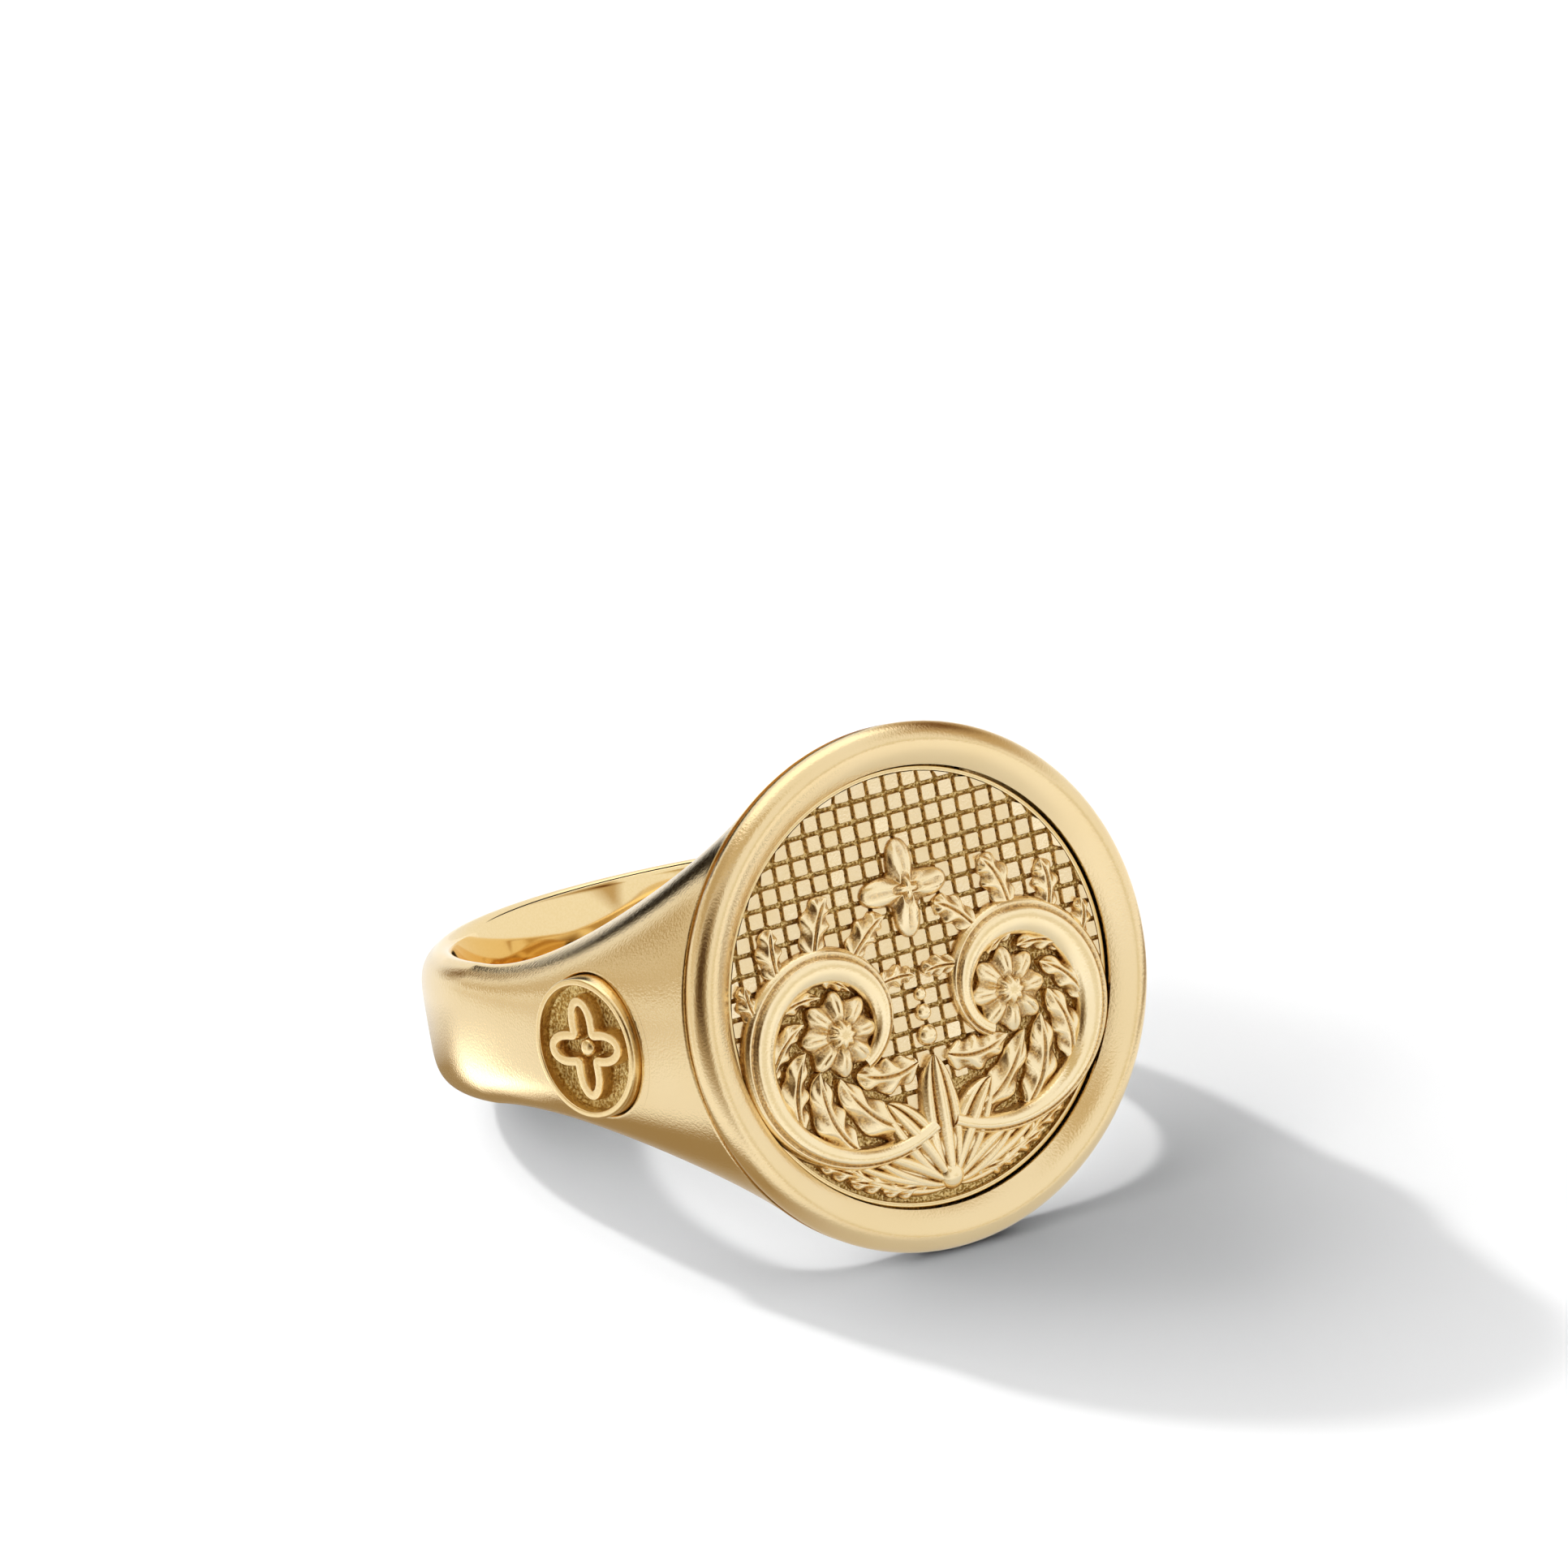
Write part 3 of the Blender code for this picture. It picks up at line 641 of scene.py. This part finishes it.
def cupShells():
    # Leaves fanned from one foot, the lowest pair rising along the rim, a knob, and a row of pearls.
    foot = np.array(cup["foot"])
    shells = []
    for item in cup["leaves"]:
        turn, length = math.radians(item["turn"]), item["length"]
        way = np.array([math.sin(turn), math.cos(turn)])
        droop = 0.10 * length * np.array([way[1], -way[0]]) * (0.0 < item["turn"] < 70.0)
        rise = np.array([0.0, 0.32 * length]) * (item["turn"] > 70.0)
        path = (foot + 0.20 * way, foot + 0.6 * length * way, foot + length * way + droop + rise)
        for side in ((1.0,) if item["turn"] == 0.0 else (-1.0, 1.0)):
            shells.append(frond(path, item["width"], item["lift"], side))
    row = cup["rimLeaves"]
    for turn in row["turns"]:
        # A leaf along the rim: foot, handle and tip on an arc about the face's middle, the tip turned out.
        turns = np.radians(turn + row["sweep"] * np.array([0.0, 0.5, 1.0]))
        reach = row["radius"] + np.array([-0.10, 0.06, 0.22])
        path = np.stack([reach * np.sin(turns), -reach * np.cos(turns)], axis=-1)
        for side in (-1.0, 1.0):
            shells.append(leaf(path, row["width"], 3.0, row["lift"], side))
    shells.append(pearl(foot[1] + 0.30, 0.52))
    return shells + [pearl(along, radius) for along, radius in cup["pearls"]]


makePiece("leafCup", cupShells(), reliefGold, ["leaf_cup"], sharp=60.0)
makePiece(
    "quatrefoilFlower", [rosette((0.0, 3.60), 1.32, 0.48, 4.0, 0.48, 1.0, 0.22)], reliefGold, ["flower"],
    sharp=60.0,
)

# Lattice round the relief

lattice = {
    "pitch": 0.708, "turn": 0.9, "shift": (0.06, -0.07), "edge": 7.64, "height": 12.50, "lean": 0.035, "seed": 7,
    "foot": 0.312, "shoulder": 0.284, "top": 0.262, "corner": 0.82, "sliver": 0.05,
}


def latticeShells():
    # Pads with cut corners on a square grid; a corner past the edge slides in along its radius.
    count = int(plate["radius"] / lattice["pitch"]) + 2
    steps = (np.arange(-count, count) + 0.5) * lattice["pitch"]
    across, along = [grid.reshape(-1) for grid in np.meshgrid(steps, steps)]
    turn = math.radians(lattice["turn"])
    way = np.array([[math.cos(turn), math.sin(turn)], [-math.sin(turn), math.cos(turn)]])
    centre = np.stack([across, along], axis=-1) @ way + np.array(lattice["shift"])
    cutOff = lattice["corner"]
    corner = np.array([[1.0, cutOff], [cutOff, 1.0], [-cutOff, 1.0], [-1.0, cutOff]])
    corner = np.concatenate([corner, -corner]) @ way
    inner = np.linalg.norm(centre[:, None] + lattice["top"] * corner, axis=-1).min(axis=1)
    centre = centre[(inner < lattice["edge"] - lattice["sliver"]) & ~inScroll(centre[:, 0], centre[:, 1])]
    lean = np.random.default_rng(lattice["seed"]).normal(0.0, lattice["lean"], (len(centre), 1, 2))
    low, high = plate["ground"] - 0.03, lattice["height"]
    rings = [(lattice["foot"], low), (lattice["shoulder"], high - 0.04), (lattice["top"], high)]
    loops = []
    for half, level in rings:
        place = centre[:, None] + half * corner
        pull = np.minimum(1.0, lattice["edge"] / np.hypot(place[..., 0], place[..., 1]))
        rise = np.sum(half * corner * lean, axis=-1) * (level > low)
        loops.append(onFace(place[..., 0] * pull, place[..., 1] * pull, level + rise))
    points = np.stack(loops, axis=1).reshape(-1, 3)
    cells = np.arange(len(centre))[:, None, None] * 24
    sides = (ringQuads(3, 8, False)[None] + cells).reshape(-1, 4)
    caps = (np.stack([np.arange(16, 24), np.arange(7, -1, -1)])[None] + cells).reshape(-1, 8)
    # Painted shade down each pad's sides: full at the foot, less at the shoulder, none on the top.
    recess = np.tile(np.repeat([1.0, 0.30, 0.0], 8), len(centre))
    return [{"points": points, "faces": [sides, caps], "values": {"recess": recess}}]


latticePads = makePiece(
    "latticePads", latticeShells(), latticeGold, ["medallion_plate"], sharp=25.0,
)

# Shoulder badges

badge = {"radius": 2.55, "border": 0.26, "rise": 0.20, "sunk": 0.35, "depth": 0.80}


def onBadge(side, across, along, height):
    # Badge point: along the shoulder, along the finger axis, and height out along the badge's normal.
    place, normal, way = badgePlaces(side)
    across, along, height = np.broadcast_arrays(across, along, height)
    return place + across[..., None] * way + along[..., None] * np.array([0.0, 0.0, 1.0]) + height[..., None] * normal


def badgeShells(side):
    # Turned disc: sunk ground, a fillet, a rounded border, and a straight wall into the shoulder.
    r, b, top, low = badge["radius"], badge["border"], badge["rise"], -badge["sunk"]
    profile = np.concatenate([
        [[0.02, low]], np.stack([np.linspace(0.3, r - b - 0.10, 10), np.full(10, low)], axis=-1),
        arc((r - b - 0.10, low + 0.10), (0.10, 0.10), -60.0, 0.0, 4),
        arc((r - b + 0.06, top - 0.07), (0.06, 0.07), 180.0, 90.0, 5),
        arc((r - 0.12, top - 0.14), (0.12, 0.14), 90.0, 0.0, 7),
        [[r, -badge["depth"]], [0.02, -badge["depth"]]],
    ])
    angle = np.linspace(0.0, 2.0 * math.pi, 160, endpoint=False)
    radius, height = profile[:, :1], profile[:, 1:]
    loops = onBadge(side, radius * np.cos(angle), radius * np.sin(angle), height + 0.0 * angle)
    # Painted shade, with painted glints in its flecks, on the sunk ground inside the border.
    recess = smooth(-0.05, -0.22, height) * (radius < r - 0.5 * b)
    return [loft(loops, recess=recess)]


knot = {"mean": 1.20, "wave": 0.50, "half": 0.19, "top": 0.13, "foot": -0.40}


def knotShells(side):
    # Four-lobed strap: a flat-topped band with eased corners carried round a wavy circle.
    turn = np.linspace(0.0, 2.0 * math.pi, 200, endpoint=False)
    radius = knot["mean"] + knot["wave"] * np.cos(4.0 * turn)
    spine = np.stack([radius * np.cos(turn), radius * np.sin(turn)], axis=-1)
    along = np.roll(spine, -1, axis=0) - np.roll(spine, 1, axis=0)
    along /= np.linalg.norm(along, axis=1)[:, None]
    normal = np.stack([along[:, 1], -along[:, 0]], axis=-1)
    offset = knot["half"] * np.array([-1.25, -1.0, -0.8, -0.4, 0.4, 0.8, 1.0, 1.25])
    height = np.array([knot["foot"], 0.05, knot["top"], knot["top"] + 0.02] * 2)
    height[4:] = height[:4][::-1]
    x = spine[:, :1] + normal[:, :1] * offset
    y = spine[:, 1:] + normal[:, 1:] * offset
    # Painted shade towards the strap's foot.
    shells = [loft(onBadge(side, x, y, height + 0.0 * x), True, recess=smooth(0.05, -0.25, height))]
    # Middle boss, painted darker towards its foot as painted shade.
    share = np.array([0.04, 0.4, 0.75, 0.95, 1.0, 1.1])[:, None]
    level = np.array([0.17, 0.15, 0.10, 0.0, -0.1, knot["foot"]])[:, None]
    shells.append(loft(
        onBadge(side, 0.34 * share * np.cos(turn), 0.34 * share * np.sin(turn), level + 0.0 * turn),
        recess=smooth(0.05, -0.25, level),
    ))
    return shells


for label, side in (("Left", -1.0), ("Right", 1.0)):
    makePiece("badge" + label, badgeShells(side), badgeGold, ["badge_" + label.lower()])
    makePiece(
        "badgeKnot" + label, knotShells(side), knotGold, ["badge_knot_" + label.lower()],
    )

# Stage: pale floor, camera and studio light

# The floor passes through the two lines that the ring stands on, under the hoop's back and under the bead.
ground = {"size": 6.0, "backLine": 0.01145, "slope": 0.01228, "glowShare": 0.55, "glow": 0.98}
floorMesh = bpy.data.meshes.new("floor")
cornerX = ground["size"] * np.array([-1.0, 1.0, 1.0, -1.0])
cornerY = ground["size"] * np.array([-1.0, -1.0, 1.0, 1.0])
cornerZ = ground["slope"] * (ground["backLine"] - cornerY)
floorMesh.from_pydata(np.stack([cornerX, cornerY, cornerZ], axis=-1).tolist(), [], [(0, 1, 2, 3)])
floor = bpy.data.objects.new("floor", floorMesh)
bpy.context.scene.collection.objects.link(floor)
# White matt paper: it keeps the ring's shadow for the eye, and the metal sees it partly as plain white.
paper = bpy.data.materials.new("white matt paper")
paper.use_nodes = True
paperTree = paper.node_tree
paperTree.nodes.clear()
matt = node(paperTree, "ShaderNodeBsdfDiffuse", None, Color=linear("#f8f8f8")).outputs["BSDF"]
white = node(paperTree, "ShaderNodeEmission", None, Color=(1.0, 1.0, 1.0, 1.0), Strength=ground["glow"]).outputs["Emission"]
metalRay = node(paperTree, "ShaderNodeLightPath").outputs["Is Glossy Ray"]
inMetal = node(paperTree, "ShaderNodeMath", {"operation": "MULTIPLY"}, i0=metalRay, i1=ground["glowShare"]).outputs["Value"]
sheet = node(paperTree, "ShaderNodeMixShader", None, i0=inMetal, i1=matt, i2=white).outputs["Shader"]
node(paperTree, "ShaderNodeOutputMaterial", None, Surface=sheet)
paper.cycles.emission_sampling = "NONE"
floorMesh.materials.append(paper)

# Camera: turn about the ring, rise and roll in degrees, distance in millimetres, scale in pixels per millimetre
# at the face's middle, which lies at the given pixel of the square picture.
view = {
    "azimuth": -31.952, "elevation": 23.0344, "roll": -0.5892, "distance": 326.2473, "scale": 34.8729,
    "facePixel": (1131.2061, 1215.697), "picture": 1932.0, "faceHeight": 12.48,
}
azimuth, elevation, roll = [math.radians(view[name]) for name in ("azimuth", "elevation", "roll")]
back = np.array([
    math.sin(azimuth) * math.cos(elevation), -math.cos(azimuth) * math.cos(elevation), math.sin(elevation)
])
right = np.array([math.cos(azimuth), math.sin(azimuth), 0.0])
up = np.cross(back, right)
right, up = right * math.cos(roll) + up * math.sin(roll), up * math.cos(roll) - right * math.sin(roll)
middle = 0.5 * view["picture"]
shiftX = (view["facePixel"][0] - middle) / view["scale"]
shiftY = (middle - view["facePixel"][1]) / view["scale"]
target = 1000.0 * toWorld(np.array([0.0, -view["faceHeight"], 0.0]))
eye = 0.001 * (target - right * shiftX - up * shiftY + back * view["distance"])
lens = bpy.data.cameras.new("camera")
lens.sensor_width = 36.0
lens.lens = 36.0 * view["scale"] * view["distance"] / view["picture"]
lens.clip_start = 0.01
lens.clip_end = 50.0
camera = bpy.data.objects.new("camera", lens)
bpy.context.scene.collection.objects.link(camera)
matrix = np.eye(4)
matrix[:3, 0], matrix[:3, 1], matrix[:3, 2], matrix[:3, 3] = right, up, back, eye
camera.matrix_world = Matrix(matrix.tolist())
bpy.context.scene.camera = camera

# Lamps: the key from behind on the left throws the shadow, the fill is an open sky; both stay out of
# the metal's reflections, which show the dome and the cards below.
lamps = [
    {"name": "key", "azimuth": 198.0, "elevation": 32.9, "strength": 1.70, "size": 4.0},
    {"name": "keyHalo", "azimuth": 200.0, "elevation": 20.0, "strength": 3.10, "size": 70.0},
    {"name": "sideFill", "azimuth": 260.0, "elevation": 10.0, "strength": 3.20, "size": 70.0},
    {"name": "skyFill", "azimuth": 0.0, "elevation": 90.0, "strength": 1.15, "size": 160.0},
]
for item in lamps:
    lamp = bpy.data.lights.new(item["name"], "SUN")
    lamp.energy = item["strength"]
    lamp.angle = math.radians(item["size"])
    lamp.cycles.use_multiple_importance_sampling = False
    light = bpy.data.objects.new(item["name"], lamp)
    light.rotation_euler = (math.radians(90.0 - item["elevation"]), 0.0, math.radians(item["azimuth"]))
    light.visible_glossy = False
    bpy.context.scene.collection.objects.link(light)

# Studio dome, and cards that only the metal sees: flags and screens darken it, a soft box brightens it. Sheets lying
# just above the floor paint into the metal's reflections the floor's shadow and one bright patch: painted shadow and
# a painted highlight. A card's middle has a bearing from the front and a rise in degrees and a distance in
# millimetres, all from the ring's middle; it faces the ring unless it says where else; its border fades to the dome's
# level.
dome = {"level": 0.98, "halfTone": 0.30, "halfCover": 0.38}
cards = [
    {"name": "backFlag", "bearing": 179.0, "rise": 34.9, "distance": 19.5, "faces": (180.0, 0.0),
     "breadth": 26.0, "tallness": 10.4, "colour": "#1c140a", "feather": 0.045},
    {"name": "edgeFlag", "bearing": -141.8, "rise": 12.1, "distance": 20.9, "faces": (180.0, 0.0),
     "breadth": 4.6, "tallness": 8.0, "colour": "#7a5c34", "feather": 0.30},
    # Sheer sheet just above the floor by the ring: painted shadow, the floor's contact shadow as the metal sees it.
    {"name": "groundShadowSheet", "bearing": -72.6, "rise": -31.1, "distance": 9.8, "faces": (0.0, 90.0),
     "breadth": 15.0, "tallness": 37.0, "colour": "#aa9470", "feather": 0.17, "rightFeather": 0.60, "sheer": True},
    # Sheer sheet on the floor far to the left: painted shade, a dimmer floor as the metal sees it.
    {"name": "sideShadeSheet", "bearing": -116.3, "rise": -3.74, "distance": 81.6, "faces": (0.0, 90.0),
     "breadth": 100.0, "tallness": 80.0, "colour": "#f1e9dc", "feather": 0.10, "sheer": True},
    {"name": "leftFlag", "bearing": -50.0, "rise": 24.0, "distance": 32.0, "faces": (-50.0, 0.0),
     "breadth": 38.0, "tallness": 36.0, "colour": "#4c3214", "feather": 0.38},
    {"name": "leftScreen", "bearing": -124.0, "rise": 42.0, "distance": 640.0,
     "breadth": 780.0, "tallness": 720.0, "colour": "#c4b08c", "feather": 0.12},
    {"name": "highScreen", "bearing": -54.0, "rise": 55.0, "distance": 620.0,
     "breadth": 900.0, "tallness": 340.0, "colour": "#d0bc96", "feather": 0.14},
    {"name": "lowScreen", "bearing": -132.0, "rise": 6.0, "distance": 660.0,
     "breadth": 760.0, "tallness": 160.0, "colour": "#dccdb2", "feather": 0.12},
    {"name": "rightFlag", "bearing": 76.0, "rise": 59.6, "distance": 24.4, "faces": (90.0, 0.0),
     "breadth": 38.0, "tallness": 20.0, "colour": "#70481c", "feather": 0.42},
    # Sheer sheet on the floor to the right: painted shadow, the ring's cast shadow as the metal sees it.
    {"name": "rightShadowSheet", "bearing": 66.8, "rise": -6.0, "distance": 46.0, "faces": (0.0, 90.0),
     "breadth": 36.0, "tallness": 46.0, "colour": "#a08a6c", "feather": 0.20, "sheer": True},
    {"name": "frontScreen", "bearing": 28.0, "rise": 3.0, "distance": 600.0,
     "breadth": 420.0, "tallness": 330.0, "colour": "#e9e1cf", "feather": 0.25},
    # Bright sheer patch on the floor by the hoop: a painted highlight in the metal, standing in for a hot patch of
    # floor, not a lamp.
    {"name": "groundHighlightPatch", "bearing": -112.9, "rise": -17.0, "distance": 16.7, "faces": (10.0, 90.0),
     "breadth": 4.6, "tallness": 12.5, "colour": "#ffffff", "strength": 2.8, "feather": 0.34, "sheer": True},
    {"name": "backBox", "bearing": 180.0, "rise": 62.0, "distance": 600.0,
     "breadth": 940.0, "tallness": 590.0, "colour": "#ffffff", "strength": 1.5, "feather": 0.12},
]
cardPaint = bpy.data.materials.new("studio card")
cardPaint.use_nodes = True
cardPaint.cycles.emission_sampling = "NONE"
cardTree = cardPaint.node_tree
cardTree.nodes.clear()
glow = node(cardTree, "ShaderNodeAttribute", {"attribute_name": "glow"})
lit = node(cardTree, "ShaderNodeEmission", None, Color=glow.outputs["Color"], Strength=1.0).outputs["Emission"]
clear = node(cardTree, "ShaderNodeBsdfTransparent").outputs["BSDF"]
sheer = node(cardTree, "ShaderNodeMixShader", None, i0=glow.outputs["Alpha"], i1=clear, i2=lit).outputs["Shader"]
node(cardTree, "ShaderNodeOutputMaterial", None, Surface=sheer)


def bearingVector(bearing, rise):
    # Unit vector at a bearing from the front and a rise, both in degrees.
    turn, lift = math.radians(bearing), math.radians(rise)
    return np.array([math.sin(turn) * math.cos(lift), -math.cos(turn) * math.cos(lift), math.sin(lift)])


for item in cards:
    # A card is a grid of points in rings: the border has the dome's level, the next ring a warm half tone,
    # and the inside the card's own colour.
    centre = item["distance"] * bearingVector(item["bearing"], item["rise"])
    faces = item.get("faces", (item["bearing"], item["rise"]))
    wide = bearingVector(faces[0] + 90.0, 0.0)
    tall = np.cross(wide, bearingVector(*faces))
    fade = np.array([0.0, 0.5, 1.0])
    low = fade * item["feather"]
    high = 1.0 - fade[::-1] * item.get("rightFeather", item["feather"])
    across = np.concatenate([low, high]) - 0.5
    along = np.concatenate([low, 1.0 - low[::-1]]) - 0.5
    x, y = np.meshgrid(across * item["breadth"], along * item["tallness"], indexing="xy")
    points = 0.001 * (centre + x[..., None] * wide + y[..., None] * tall)
    points[..., 2] += 0.001 * stance["axisZ"]
    inside = np.array(linear(item["colour"])) * item.get("strength", 1.0)
    colour = np.full((6, 6, 4), dome["level"])
    colour[1:5, 1:5] = inside ** dome["halfTone"]
    colour[2:4, 2:4] = inside
    colour[..., 3] = 1.0
    if item.get("sheer"):
        colour[...] = inside
        colour[..., 3] = 0.0
        colour[1:5, 1:5, 3] = dome["halfCover"]
        colour[2:4, 2:4, 3] = 1.0
    i, j = np.meshgrid(np.arange(5), np.arange(5), indexing="ij")
    quads = np.stack([6 * i + j, 6 * i + j + 1, 6 * i + j + 7, 6 * i + j + 6], axis=-1).reshape(-1, 4)
    mesh = bpy.data.meshes.new(item["name"])
    mesh.from_pydata(points.reshape(-1, 3).tolist(), [], quads.tolist())
    mesh.attributes.new("glow", "FLOAT_COLOR", "POINT").data.foreach_set("color", colour.reshape(-1))
    mesh.materials.append(cardPaint)
    card = bpy.data.objects.new(item["name"], mesh)
    card.visible_camera = False
    card.visible_diffuse = False
    card.visible_shadow = False
    bpy.context.scene.collection.objects.link(card)
world = bpy.data.worlds.new("studio dome")
bpy.context.scene.world = world
world.use_nodes = True
world.cycles_visibility.diffuse = False
world.node_tree.nodes.clear()
air = node(world.node_tree, "ShaderNodeBackground", None, Color=(1.0, 1.0, 1.0, 1.0), Strength=dome["level"])
node(world.node_tree, "ShaderNodeOutputWorld", None, Surface=air.outputs["Background"])

bpy.context.scene.view_settings.view_transform = "Standard"
print("stage done")
